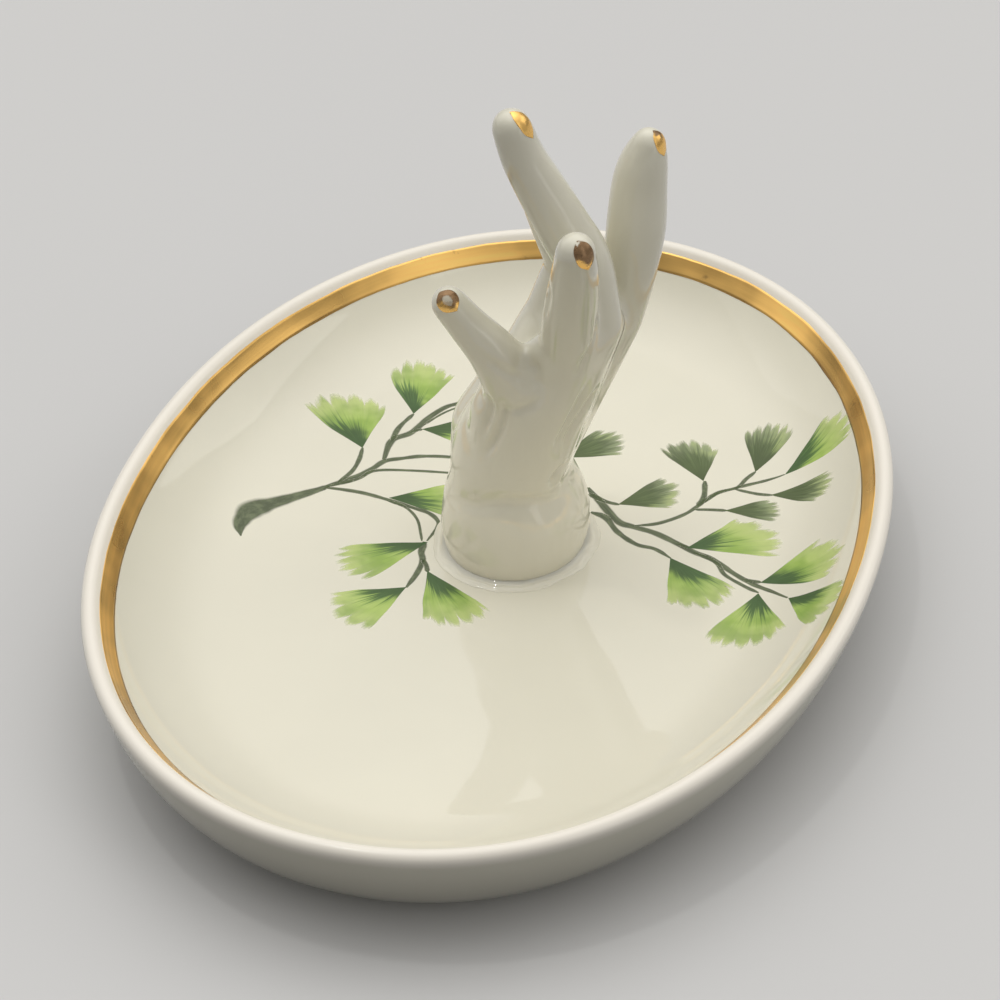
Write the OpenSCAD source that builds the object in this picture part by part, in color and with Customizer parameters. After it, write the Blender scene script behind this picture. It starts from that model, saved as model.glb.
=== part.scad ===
/* [Dish] */
// Length of the oval dish over its lip, along Y
dish_length = 130; // [120:1:140]
// Width of the oval dish over its lip, along X
dish_width = 96; // [90:1:102]
// Height of the rim above the table
dish_height = 15; // [14:0.5:17]
// Depth of the hollow from the rim to the flat floor
hollow_depth = 8.5; // [8:0.5:9]
// Thickness of the rounded lip
lip_thickness = 2.2; // [1.8:0.1:2.6]
// Squareness of the oval, where 2 is a true ellipse
oval_power = 2.08; // [2:0.02:2.3]
// Slope of the outer wall just under the lip, from upright
outer_lean = 10; // [5:1:15]
// Radius of the outer wall's curve, in section
outer_curve = 21; // [20:0.5:24]
// Slope of the inner wall just under the lip, from upright
inner_lean = 32; // [26:1:36]

/* [Foot] */
// Width of the foot ring's flat resting face
foot_width = 3; // [2:0.5:4]
// Height of the hollow under the floor, inside the foot ring
foot_recess = 2.5; // [2:0.25:3]

/* [Gilding] */
// Distance of the gold band's upper edge below the rim
band_drop = 0.9; // [0.8:0.1:1.2]
// Height of the gold band, measured upright
band_height = 2.1; // [1.6:0.1:3]
// Thickness given to the gilding and the painted sprays
skin = 0.25; // [0.2:0.05:0.4]

/* [Hand] */
// Place of the wrist's centre along X
hand_x = 1; // [-1:0.5:3]
// Place of the wrist's centre along Y
hand_y = 5; // [2:0.5:7]
// Half width of the wrist's base, across the palm's thickness
wrist_a = 9.2; // [8.5:0.1:10]
// Half depth of the wrist's base, from thumb side to little finger side
wrist_b = 10.2; // [9.5:0.1:11]
// Width of the bead of slip round the wrist
bead_width = 1.5; // [0.8:0.1:2]
// Height of the bead of slip
bead_height = 0.8; // [0.6:0.1:1.2]

/* [Hidden] */
// Straight sides round the oval and round the wrist
oval_sides = 72;
wrist_sides = 48;
ball_sides = 24;
floor_z = dish_height - hollow_depth;
lip_r = lip_thickness / 2;
rim_a = dish_width / 2 - lip_r;
rim_b = dish_length / 2 - lip_r;
THUMB = 0;
INDEX = 1;
MIDDLE = 2;
RING = 3;
LITTLE = 4;

// A power that keeps its sign
function keep(v, p) = sign(v) * pow(abs(v), p);
function unit(v) = v / norm(v);
// A point on the crest of the rim, and the direction straight out from it
function crest(a) = [rim_a * keep(cos(a), 2 / oval_power), rim_b * keep(sin(a), 2 / oval_power)];
function outward(a) = unit([keep(cos(a), 2 - 2 / oval_power) / rim_a,
    keep(sin(a), 2 - 2 / oval_power) / rim_b]);
// The ring of points that runs parallel to the crest, moved out by o and standing at height z
function oval_ring(o, z) = [for (i = [0 : oval_sides - 1])
    let (a = 360 * i / oval_sides, p = crest(a) + o * outward(a)) [p[0], p[1], z]];
// The two triangles between neighbouring rings, with the same diagonal in every loft
function patch(i, lower, upper, sides, flip) =
    let (a = lower * sides + i, b = lower * sides + (i + 1) % sides,
         c = upper * sides + (i + 1) % sides, d = upper * sides + i)
    flip ? [[a, b, c], [a, c, d]] : [[c, b, a], [d, c, a]];
function loft_walls(count, sides, flip, closed) = [for (j = [0 : count - (closed ? 1 : 2)])
    for (i = [0 : sides - 1]) each patch(i, j, (j + 1) % count, sides, flip)];
function joined(lists) = [for (l = lists) each l];

// A solid through a list of rings, capped at both ends
module loft(rings) {
    sides = len(rings[0]);
    count = len(rings);
    caps = [[for (i = [0 : sides - 1]) i],
        [for (i = [sides - 1 : -1 : 0]) (count - 1) * sides + i]];
    polyhedron(joined(rings), concat(loft_walls(count, sides, false, false), caps), 6);
}

// A hoop whose section is the closed row of rings
module hoop(rings) {
    polyhedron(joined(rings), loft_walls(len(rings), len(rings[0]), true, true), 4);
}

// The hollow side in section, from the inner edge of the lip down to the floor: [offset, height]
inner_steps = 9;
inner_curve = (hollow_depth - lip_r * (1 - sin(inner_lean))) / (1 - sin(inner_lean));
inner_start = [-lip_r * cos(inner_lean), dish_height - lip_r * (1 - sin(inner_lean))];
function inner_point(a) = inner_start
    - inner_curve * [cos(inner_lean) - cos(a), sin(a) - sin(inner_lean)];
// The slope at which the inner wall is a given distance below the rim
function inner_slope(drop) = asin((drop - lip_r * (1 - sin(inner_lean))) / inner_curve
    + sin(inner_lean));
band_slopes = [for (k = [0 : 2])
    inner_slope(band_drop + k * band_height / 2)];
floor_slopes = [for (k = [1 : inner_steps])
    band_slopes[2] + (90 - band_slopes[2]) * k / inner_steps];
inner_profile = [for (a = concat(band_slopes, floor_slopes)) inner_point(a)];

// The outer side in section, from the foot's outer edge up to the lip
outer_steps = 7;
foot_edge_z = 0.6;
outer_end = asin((dish_height - lip_r - foot_edge_z) / outer_curve + sin(outer_lean));
function outer_point(a) = [lip_r - outer_curve * (cos(outer_lean) - cos(a)),
    dish_height - lip_r - outer_curve * (sin(a) - sin(outer_lean))];
outer_profile = [for (k = [outer_steps : -1 : 0])
    outer_point(outer_lean + (outer_end - outer_lean) * k / outer_steps)];
foot_outer = outer_point(outer_end)[0] - foot_edge_z;
foot_profile = [[foot_outer - foot_width - foot_recess, foot_recess],
    [foot_outer - foot_width - 0.6, 0.5], [foot_outer - foot_width, 0], [foot_outer, 0]];
lip_profile = [for (a = [30 : 30 : 120]) [lip_r * cos(a), dish_height - lip_r + lip_r * sin(a)]];

module dish() {
    color("ivory")
    loft([for (p = concat(foot_profile, outer_profile, lip_profile, inner_profile))
        oval_ring(p[0], p[1])]);
}

// The dish's hollow side raised by a skin, over the slopes given
module hollow_skin(slopes) {
    under = [for (a = slopes) inner_point(a)];
    over = [for (k = [len(slopes) - 1 : -1 : 0])
        under[k] + skin * [-cos(slopes[k]), sin(slopes[k])]];
    hoop([for (p = concat(under, over)) oval_ring(p[0], p[1])]);
}

module gilt_band() {
    color("goldenrod") hollow_skin(band_slopes);
}

// The wrist in section, from its base up: [height, half width, half depth, shift along X]
bead_top = bead_height;
wrist_rows = [
    [0, wrist_a, wrist_b, 0], [bead_top, wrist_a, wrist_b, 0],
    [4, wrist_a + 0.1, wrist_b - 0.1, 0], [6.5, wrist_a - 0.1, wrist_b - 0.3, 0],
    [8.5, wrist_a - 0.7, wrist_b - 0.7, -0.2], [10.5, wrist_a - 1.5, wrist_b - 1.2, -0.4],
    [12.5, wrist_a - 1.8, wrist_b - 1.5, -0.5], [15, wrist_a - 1.7, wrist_b - 1.6, -0.2],
    [18, wrist_a - 1.7, wrist_b - 1.9, 0.8], [21, wrist_a - 2.1, wrist_b - 2.4, 2]];
function wrist_ring(a, b, x, z) = [for (i = [0 : wrist_sides - 1])
    let (t = 360 * i / wrist_sides) [x + a * cos(t), b * sin(t), z]];

// The digits, each a row of joints from the knuckle to the tip: [x, y, z, radius],
// measured from the centre of the wrist's base
digits = [
    [[2.2, -4.5, 26, 4], [-0.2, -7, 32.8, 3], [-2.9, -8, 36.8, 2.4], [-5.1, -9, 40.4, 2.1]],
    [[8.3, -5, 34, 3.4], [9.4, -7.5, 41, 3.2], [10.6, -10, 47.5, 2.8], [11.3, -12, 52.3, 2.3]],
    [[10.8, -1.5, 35.5, 3.2], [9.5, -2, 44, 3.3], [7.2, -2.5, 49, 3.2], [4.7, -3, 54, 2.9],
        [2.7, -3.5, 58.2, 2.6], [1.4, -4, 62.5, 2.3]],
    [[10, 3, 33, 3.1], [6.6, 3.5, 40.5, 3.2], [3.5, 3, 47, 2.4], [0.8, 2.5, 54.5, 1.9]],
    [[11.7, 5.5, 32, 2.9], [12.9, 6, 38.5, 3.2], [13.5, 6.5, 44.6, 3.5], [13.9, 7, 50.3, 3],
        [14.4, 7, 53.5, 2.6], [14.9, 7, 56.2, 1.9]]];

module ball(p, grow = 0, sides = ball_sides) {
    translate([p[0], p[1], p[2]]) sphere(p[3] + grow, $fn = sides);
}

module digit(joints, grow = 0, sides = ball_sides) {
    for (k = [1 : len(joints) - 1]) hull() {
        ball(joints[k - 1], grow, sides);
        ball(joints[k], grow, sides);
    }
}

// The bones and pads of the palm, as balls that are wrapped together in small groups
wrist_front = [0.8, -2.5, 14, 6.2];
wrist_back = [1.3, 2.5, 14, 5.8];
heel_pad = [-3.3, 4, 14, 5.9];
edge_pad = [4.2, 4.5, 31.5, 4];
thumb_pad = [0.5, -3, 21.5, 5];
web = [4.4, -4.6, 29.9, 2.5];
palm_side = [1.6, 5, 23.5, 5.3];
heel_root = [-2.2, 2.2, 6.5, 6.8];
module wrap(balls, sides = ball_sides) {
    hull() for (b = balls) ball(b, 0, sides);
}
module palm() {
    knuckles = [for (d = digits) d[0]];
    wrap([wrist_front, thumb_pad, knuckles[THUMB]]);
    wrap([wrist_front, thumb_pad, knuckles[INDEX], web]);
    wrap([knuckles[THUMB], knuckles[INDEX], web]);
    wrap([wrist_front, wrist_back, knuckles[INDEX], knuckles[MIDDLE]]);
    wrap([wrist_back, edge_pad, knuckles[MIDDLE], knuckles[RING]]);
    wrap([wrist_back, edge_pad, knuckles[RING], knuckles[LITTLE]]);
    wrap([wrist_back, palm_side, edge_pad, knuckles[LITTLE]]);
    wrap([wrist_front, wrist_back, heel_pad]);
    wrap([wrist_back, heel_pad, palm_side]);
    wrap([heel_root, heel_pad]);
    wrap([thumb_pad, palm_side, edge_pad]);
    wrap([edge_pad, knuckles[RING], digits[RING][1]]);
}

module hand_shape() {
    translate([hand_x, hand_y, floor_z]) {
        loft([for (r = wrist_rows) wrist_ring(r[1], r[2], r[3], r[0])]);
        palm();
        for (d = digits) digit(d);
    }
}

module hand() {
    color("white") hand_shape();
}

// The bead of slip that joins the wrist to the floor, with a hollow fillet face
module luting_bead() {
    section = [[0, 0], [0, bead_height], [bead_width * 0.25, bead_height * 0.4],
        [bead_width * 0.6, bead_height * 0.15], [bead_width, 0]];
    color("ivory") translate([hand_x, hand_y, floor_z])
        hoop([for (p = section)
            wrist_ring(wrist_a + p[0], wrist_b + p[0], 0, p[1])]);
}

// The way each nail faces, out of the ball of its fingertip
nail_faces = [[0.18, -0.72, 0.67], [0.7, -0.66, 0.26], [0.82, -0.25, 0.5], [0.8, -0.2, 0.5],
    [0.86, -0.3, 0.4]];
nail_half_width = 1.35;
nail_length = 3.6;
nail_sides = 16;

// A gilt nail: a skin over the fingertip, inside an oblong patch that lies along the finger
module gilt_nail(which) {
    joints = digits[which];
    last = len(joints) - 1;
    tip = [joints[last][0], joints[last][1], joints[last][2]];
    finger = unit(tip - [joints[last - 1][0], joints[last - 1][1], joints[last - 1][2]]);
    face = unit(nail_faces[which]);
    along = unit(finger - (finger * face) * face);
    middle = tip + joints[last][3] * face;
    half = (nail_length / 2 - nail_half_width) * along;
    color("goldenrod") difference() {
        translate([hand_x, hand_y, floor_z]) intersection() {
            digit([joints[last - 1], joints[last]], skin, nail_sides);
            wrap([concat(middle + half, nail_half_width), concat(middle - half, nail_half_width)],
                nail_sides);
        }
        hand_shape();
    }
}

// The painted sprays, in plan. A stem is a row of points with its width at both ends,
// and a leaf is [x, y, heading, length, spread]
left_stems = [
    [[[-33.8, -0.2], [-31.5, 3.3], [-28.5, 6.2], [-25.7, 8.6]], 2.1, 0.9],
    [[[-32.7, -3.9], [-33.8, -1.4], [-33.3, 1.3]], 0.3, 1.9],
    [[[-25.7, 8.6], [-21.3, 13.5], [-20.1, 15.9], [-15.6, 18.3], [-7, 19]], 0.9, 0.45],
    [[[-25.1, 8.9], [-20.6, 13.6], [-16.1, 14.9], [-8.5, 16.2]], 0.5, 0.4],
    [[[-24.5, 9.8], [-23.5, 12.6], [-23.8, 18]], 0.5, 0.5],
    [[[-20.3, 16.2], [-20.6, 20.5], [-17.5, 26.7], [-14, 31.6], [-13, 37.5]], 0.9, 0.5],
    [[[-20.6, 20.5], [-19.7, 27]], 0.7, 0.5],
    [[[-19, 22.8], [-17.5, 24]], 0.4, 0.4],
    [[[-25.5, 8.4], [-20.5, 8.6], [-13.7, 7.4], [-9.4, 4.8], [-9.6, 1.2]], 0.6, 0.45],
    [[[-17.1, 7.9], [-12.2, 5.2], [-10.2, 1]], 0.4, 0.3],
    [[[-9.8, 1], [-8.9, -2.8], [-9.2, -8.5]], 0.9, 0.5],
    [[[-9, -2.5], [-7.6, -4.8]], 0.5, 0.5]];
left_leaves = [[-23.8, 17.9, 120, 12, 60], [-19.7, 27, 101, 11.6, 54], [-17.6, 24, 11, 9, 54],
    [-17.1, 8.5, 13, 9.8, 48], [-9.4, 1, -140, 12, 44], [-9.2, -8.4, -129, 10.4, 56],
    [-7.7, -4.6, -52, 11.6, 48]];
right_stems = [
    [[[6.9, 17.5], [12.5, 11.7], [20.8, 9.3], [28.8, 5.5], [37, 1.1]], 1, 0.5],
    [[[7.4, 16.3], [11.8, 15.1]], 0.8, 0.4],
    [[[14.7, 11.3], [20.1, 15.1], [22.8, 20.3], [30.8, 26.5]], 0.5, 0.45],
    [[[22.1, 18.4], [25.4, 22.7], [26.9, 26.7]], 0.5, 0.5],
    [[[21.5, 17.5], [21.1, 23]], 0.7, 0.6],
    [[[25.3, 22.3], [30.2, 22.2]], 0.5, 0.5],
    [[[21.3, 16.7], [25.3, 17.6]], 0.5, 0.5],
    [[[8.7, 12.6], [10.8, 12], [13.1, 9.5], [16, 7.7], [20.9, 6.1]], 0.8, 0.5],
    [[[23.4, 8.1], [28.2, 4.7], [33.1, 2.2]], 0.5, 0.5],
    [[[21, 9.3], [22.5, 8.8]], 0.5, 0.5],
    [[[30.7, 4.4], [32.9, 4.3]], 0.5, 0.5]];
right_leaves = [[1.9, 22.8, 45, 9, 50], [11.6, 15.1, 36, 8.4, 54], [20.9, 22.9, 117, 9, 56],
    [26.9, 26.6, 90, 10, 46], [30.8, 26.4, 52, 10.4, 42], [29.9, 22.2, 7, 7.8, 46],
    [25, 17.5, 16, 7, 46], [22.3, 8.7, 32, 11.4, 52], [20.8, 6.2, -50, 10.8, 56],
    [33.1, 2.1, -85, 11, 60], [32.8, 4.2, 27, 10.2, 60], [37.1, 1, -29, 8, 68]];
fringe_teeth = 6;
stem_sides = 6;

// A fan leaf whose far edge is cut into teeth
module fan_leaf(length, spread) {
    fringe = [for (k = [0 : 2 * fringe_teeth])
        let (a = spread * (k / fringe_teeth - 1) / 2, reach = k % 2 == 0 ? 0.86 : 1)
        length * reach * (0.8 + 0.2 * cos(3 * a)) * [cos(a), sin(a)]];
    polygon(concat([[0, 0]], fringe));
}

module stem(points, start, end) {
    last = len(points) - 1;
    for (k = [0 : last - 1]) hull() {
        translate(points[k]) circle(d = start + (end - start) * k / last, $fn = stem_sides);
        translate(points[k + 1]) circle(d = start + (end - start) * (k + 1) / last, $fn = stem_sides);
    }
}

// The whole hollow side raised by a skin, flat floor included
module hollow_layer() {
    slopes = concat(band_slopes, floor_slopes);
    last = len(slopes) - 1;
    under = [for (k = [last : -1 : 3]) inner_point(slopes[k])];
    over = [for (k = [3 : last])
        inner_point(slopes[k]) + skin * [-cos(slopes[k]), sin(slopes[k])]];
    loft([for (p = concat(under, over)) oval_ring(p[0], p[1])]);
}

// Stems and leaves as a thin layer that follows the floor and the rise of the wall
module spray(stems, leaves) {
    color("seagreen") intersection() {
        translate([0, 0, floor_z]) linear_extrude(hollow_depth) union() {
            for (s = stems) stem(s[0], s[1], s[2]);
            for (l = leaves) translate([l[0], l[1]]) rotate(l[2]) fan_leaf(l[3], l[4]);
        }
        hollow_layer();
    }
}

dish();
hand();
luting_bead();
gilt_band();
gilt_nail(THUMB);  // gilt_nail_thumb
gilt_nail(INDEX);  // gilt_nail_index
gilt_nail(MIDDLE);  // gilt_nail_middle
gilt_nail(RING);  // gilt_nail_ring
gilt_nail(LITTLE);  // gilt_nail_little
spray(left_stems, left_leaves);  // fern_spray_left
spray(right_stems, right_leaves);  // fern_spray_right
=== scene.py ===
"""A porcelain ring dish: an oval dish, a standing hand, a gold line, gilt nails and painted fern sprays."""
import math

import bmesh
import bpy
from mathutils import Matrix, Vector, noise
from mathutils.bvhtree import BVHTree
from mathutils.kdtree import KDTree


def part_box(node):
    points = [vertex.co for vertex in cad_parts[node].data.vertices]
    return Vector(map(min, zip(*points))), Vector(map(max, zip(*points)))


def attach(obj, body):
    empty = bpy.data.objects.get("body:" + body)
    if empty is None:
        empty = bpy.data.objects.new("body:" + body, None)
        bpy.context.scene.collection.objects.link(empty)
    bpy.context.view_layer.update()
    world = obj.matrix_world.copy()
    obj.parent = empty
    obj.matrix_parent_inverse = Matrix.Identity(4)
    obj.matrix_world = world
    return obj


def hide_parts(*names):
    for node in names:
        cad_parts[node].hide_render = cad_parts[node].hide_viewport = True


bl_info = {
    "name": "Ring Dish",
    "version": (1, 0, 0),
    "blender": (4, 5, 0),
    "location": "View3D > Sidebar > Ring Dish",
    "description": "Models a porcelain ring dish with a standing hand, gold line and painted sprays",
    "category": "Add Mesh",
}

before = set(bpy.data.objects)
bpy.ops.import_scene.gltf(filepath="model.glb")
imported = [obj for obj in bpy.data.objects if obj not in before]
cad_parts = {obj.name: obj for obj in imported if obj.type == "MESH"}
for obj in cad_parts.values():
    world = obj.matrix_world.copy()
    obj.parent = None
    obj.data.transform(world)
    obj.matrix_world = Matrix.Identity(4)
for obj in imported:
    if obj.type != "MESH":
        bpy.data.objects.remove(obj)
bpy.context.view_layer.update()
BODY = "root"
MM = 0.001

DISH_LOW, DISH_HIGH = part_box("dish")
HAND_LOW, HAND_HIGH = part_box("hand")


class DishSettings(bpy.types.PropertyGroup):
    """Sizes of the oval dish."""

    lip_thickness: bpy.props.FloatProperty(
        name="Lip thickness", description="Thickness of the rounded lip",
        default=0.0022, subtype="DISTANCE", unit="LENGTH")
    oval_power: bpy.props.FloatProperty(
        name="Oval power", description="Squareness of the oval, where 2 is a true ellipse",
        default=2.08)
    outer_lean: bpy.props.FloatProperty(
        name="Outer lean", description="Slope of the outer wall under the lip, from upright",
        default=math.radians(10), subtype="ANGLE")
    outer_curve: bpy.props.FloatProperty(
        name="Outer curve", description="Radius of the outer wall's curve, in section",
        default=0.021, subtype="DISTANCE", unit="LENGTH")
    inner_lean: bpy.props.FloatProperty(
        name="Inner lean", description="Slope of the inner wall under the lip, from upright",
        default=math.radians(32), subtype="ANGLE")
    foot_width: bpy.props.FloatProperty(
        name="Foot width", description="Width of the foot ring's resting face",
        default=0.003, subtype="DISTANCE", unit="LENGTH")
    foot_recess: bpy.props.FloatProperty(
        name="Foot recess", description="Height of the hollow inside the foot ring",
        default=0.0025, subtype="DISTANCE", unit="LENGTH")
    sides: bpy.props.IntProperty(
        name="Sides", description="Steps round the oval", default=288)


class GildingSettings(bpy.types.PropertyGroup):
    """Sizes and colour of the fired gold."""

    band_drop: bpy.props.FloatProperty(
        name="Band drop", description="Distance of the gold line's upper edge below the rim",
        default=0.0009, subtype="DISTANCE", unit="LENGTH")
    band_height: bpy.props.FloatProperty(
        name="Band height", description="Height of the gold line, measured upright",
        default=0.0021, subtype="DISTANCE", unit="LENGTH")
    brush_wander: bpy.props.FloatProperty(
        name="Brush wander", description="How far the line's edges stray, as laid on by hand",
        default=0.00012, subtype="DISTANCE", unit="LENGTH")
    lift: bpy.props.FloatProperty(
        name="Lift", description="Height of gold and enamel above the glaze",
        default=0.00004, subtype="DISTANCE", unit="LENGTH")
    gold: bpy.props.FloatVectorProperty(
        name="Gold", description="Colour of the burnished gold",
        default=(0.94, 0.58, 0.18), size=3, subtype="COLOR")
    worn_gold: bpy.props.FloatVectorProperty(
        name="Worn gold", description="Colour of the tarnished gold",
        default=(0.26, 0.155, 0.075), size=3, subtype="COLOR")


class HandSettings(bpy.types.PropertyGroup):
    """Sizes of the standing hand."""

    centre_x: bpy.props.FloatProperty(
        name="Centre X", description="Place of the wrist's centre along X",
        default=0.001, subtype="DISTANCE", unit="LENGTH")
    centre_y: bpy.props.FloatProperty(
        name="Centre Y", description="Place of the wrist's centre along Y",
        default=0.005, subtype="DISTANCE", unit="LENGTH")
    voxel: bpy.props.FloatProperty(
        name="Voxel", description="Size of the cells in which the hand's parts are fused",
        default=0.0003, subtype="DISTANCE", unit="LENGTH")
    smoothing: bpy.props.IntProperty(
        name="Smoothing", description="Passes that soften the joins, as the glaze does",
        default=18)


class PaintSettings(bpy.types.PropertyGroup):
    """Colours of the porcelain and the painted sprays."""

    porcelain: bpy.props.FloatVectorProperty(
        name="Porcelain", description="Colour of the glazed body",
        default=(0.78, 0.755, 0.63), size=3, subtype="COLOR")
    leaf_dark: bpy.props.FloatVectorProperty(
        name="Leaf dark", description="Colour of the brush strokes at a leaf's stalk",
        default=(0.053, 0.113, 0.031), size=3, subtype="COLOR")
    leaf_light: bpy.props.FloatVectorProperty(
        name="Leaf light", description="Colour of a leaf towards its fringe",
        default=(0.35, 0.51, 0.105), size=3, subtype="COLOR")
    stem_green: bpy.props.FloatVectorProperty(
        name="Stem green", description="Colour of the stems",
        default=(0.056, 0.079, 0.031), size=3, subtype="COLOR")


class StageSettings(bpy.types.PropertyGroup):
    """The camera, the floor and the lamps."""

    camera_place: bpy.props.FloatVectorProperty(
        name="Camera place", description="Where the camera stands",
        default=(0.10196, -0.32463, 0.27198), size=3, subtype="XYZ", unit="LENGTH")
    look_azimuth: bpy.props.FloatProperty(
        name="Look azimuth", description="Direction of view, turned from +Y towards -X",
        default=math.radians(17.35), subtype="ANGLE")
    look_down: bpy.props.FloatProperty(
        name="Look down", description="Angle of view below level",
        default=math.radians(37), subtype="ANGLE")
    roll: bpy.props.FloatProperty(
        name="Roll", description="Turn of the camera about its line of sight",
        default=math.radians(-1), subtype="ANGLE")
    lens: bpy.props.FloatProperty(
        name="Lens", description="Focal length in millimetres on a 36 mm sensor",
        default=123.96)
    floor_colour: bpy.props.FloatVectorProperty(
        name="Floor colour", description="Colour of the plain floor",
        default=(0.62, 0.62, 0.62), size=3, subtype="COLOR")


def settings(name):
    return getattr(bpy.context.scene, name)


# The digits, each a row of joints from the knuckle to the tip: x, y, z and radius in
# millimetres, measured from the centre of the wrist's base on the floor of the dish
DIGITS = {
    "thumb": [(2.2, -4.5, 26, 4), (-0.2, -7, 32.8, 3), (-2.9, -8, 36.8, 2.4), (-5.1, -9, 40.4, 2.1)],
    "index": [(8.3, -5, 34, 3.4), (9.4, -7.5, 41, 3.2), (10.6, -10, 47.5, 2.8), (11.3, -12, 52.3, 2.3)],
    "middle": [(10.8, -1.5, 35.5, 3.2), (9.5, -2, 44, 3.3), (7.2, -2.5, 49, 3.2), (4.7, -3, 54, 2.9),
               (2.7, -3.5, 58.2, 2.6), (1.4, -4, 62.5, 2.3)],
    "ring": [(10, 3, 33, 3.1), (6.6, 3.5, 40.5, 3.2), (3.5, 3, 47, 2.4), (0.8, 2.5, 54.5, 1.9)],
    "little": [(11.7, 5.5, 32, 2.9), (12.9, 6, 38.5, 3.2), (13.5, 6.5, 44.6, 3.55), (13.7, 7, 50, 3.3),
               (14.15, 7, 53.2, 2.9), (14.8, 7, 56.1, 2)],
}
# The bones and pads of the palm, as balls that are wrapped together in small groups
PALM = {
    "wrist_front": (0.8, -2.5, 14, 6.2), "wrist_back": (1.3, 2.5, 14, 5.8),
    "heel_pad": (-3.3, 4, 14, 5.9), "edge_pad": (4.2, 4.5, 31.5, 4),
    "thumb_pad": (0.5, -3, 21.5, 5), "web": (4.4, -4.6, 29.9, 2.5), "palm_side": (1.6, 5, 23.5, 5.3),
    "heel_root": (-2.2, 2.2, 6.5, 6.8), "ring_root": (6.6, 3.5, 40.5, 3.2),
}
PALM_GROUPS = [
    ("wrist_front", "thumb_pad", "thumb"), ("wrist_front", "thumb_pad", "index", "web"),
    ("thumb", "index", "web"),
    ("wrist_front", "wrist_back", "index", "middle"), ("wrist_back", "edge_pad", "middle", "ring"),
    ("wrist_back", "edge_pad", "ring", "little"), ("wrist_back", "palm_side", "edge_pad", "little"),
    ("wrist_front", "wrist_back", "heel_pad"), ("wrist_back", "heel_pad", "palm_side"),
    ("heel_root", "heel_pad"),
    ("thumb_pad", "palm_side", "edge_pad"), ("edge_pad", "ring", "ring_root"),
]
# The wrist in section, from its base up: height, half width, half depth and shift along X, in millimetres
WRIST_ROWS = [
    (0, 8.9, 9.9, 0), (0.9, 8.9, 9.9, 0), (2, 9.2, 10.1, 0), (4, 9.3, 10.1, 0), (6.5, 9.1, 9.9, 0),
    (8.5, 8.5, 9.5, -0.2), (10.5, 7.7, 9.0, -0.4), (12.5, 7.4, 8.7, -0.5), (15, 7.5, 8.6, -0.2),
    (18, 7.5, 8.3, 0.8), (21, 7.1, 7.8, 2),
]
# What the smoothing takes off the fingers' radius, added beforehand, in millimetres
SHRINKAGE = 0.12
BEAD_WIDTH, BEAD_HEIGHT, BEAD_TUCK, BEAD_RIPPLE = 1.5 * MM, 0.8 * MM, 0.4 * MM, 0.75 * MM

# The nails: the way each one faces, its half width and length in millimetres, how tarnished it is,
# how far its middle is rubbed bare and how ragged its tip
NAILS = {
    "thumb": ((0.18, -0.72, 0.67), 1.3, 3.1, 0.8, 0.5, 0.0),
    "index": ((0.70, -0.66, 0.26), 1.2, 3.9, 1.0, 0.0, 0.7),
    "middle": ((0.82, -0.25, 0.5), 1.0, 4.1, 0.1, 0.0, 0.0),
    "ring": ((0.8, -0.2, 0.5), 1.1, 3.6, 0.3, 0.0, 0.0),
    "little": ((0.9, -0.24, 0.36), 1.05, 3.3, 0.4, 0.0, 0.0),
}
# Folds and hollows of the palm: points in millimetres, half width and depth of the furrow
FURROWS = [
    ([(1.6, -9, 27.8), (1.2, -8.5, 25.3), (0.6, -8.4, 22.8), (-0.5, -8.3, 20.2), (-1.8, -7.9, 17.5)], 0.7, 0.8),
    ([(-1.3, -8, 28), (-0.7, -7.9, 26.6), (-0.7, -7.7, 24.7), (-1.3, -7.6, 22.7), (-2, -7.4, 19.5)], 0.55, 0.55),
    ([(12.7, -7.6, 41.5), (12.3, -6.6, 38.2), (11.8, -7.1, 36), (11, -7.5, 34), (10.2, -7.3, 31.5)], 0.55, 0.45),
    ([(11.5, -3, 27.5), (10.5, -4, 25.5), (9.4, -5, 23.3), (8.4, -5.6, 21), (7.9, -5.4, 18.4)], 0.5, 0.6),
    ([(10.9, -5.6, 29.8), (10, -5.8, 26.9), (8.9, -6.3, 24.1), (7.7, -6.7, 21.1), (7.2, -6.5, 18.6)], 0.6, 0.5),
    ([(7.6, -1, 15.8), (7.4, -4.3, 15.4), (6.8, -5.3, 14.7), (6.4, -5.5, 13.4)], 0.6, 0.8),
    ([(-8, -4.4, 8.7), (-3.3, -8.3, 10.6), (0.7, -8.7, 11.8), (4.1, -7.3, 11.8), (6.8, -3.5, 10.6)], 1.2, 0.5),
    ([(4.6, -8, 31.8), (5.3, -8.4, 30.2)], 2.4, 0.8),
    ([(4.2, -7.2, 32.6), (4.8, -7.4, 31.7), (5.1, -7.6, 30.4), (5.2, -7.9, 29.2)], 0.9, 1.0),
    ([(6.3, -8.2, 28.7), (4.8, -8.4, 27.2), (3.3, -8.5, 26.2), (1.6, -8.6, 25.6)], 0.6, 0.4),
    ([(-1.3, -10.2, 35), (1, -9.7, 32.7), (2.7, -8.4, 30.9), (4, -7.8, 30.3)], 0.6, 0.45),
    ([(7.9, -10.9, 46.9), (7.5, -10.4, 43.8), (6.5, -9, 40.2)], 0.7, 0.3),
]

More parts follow.
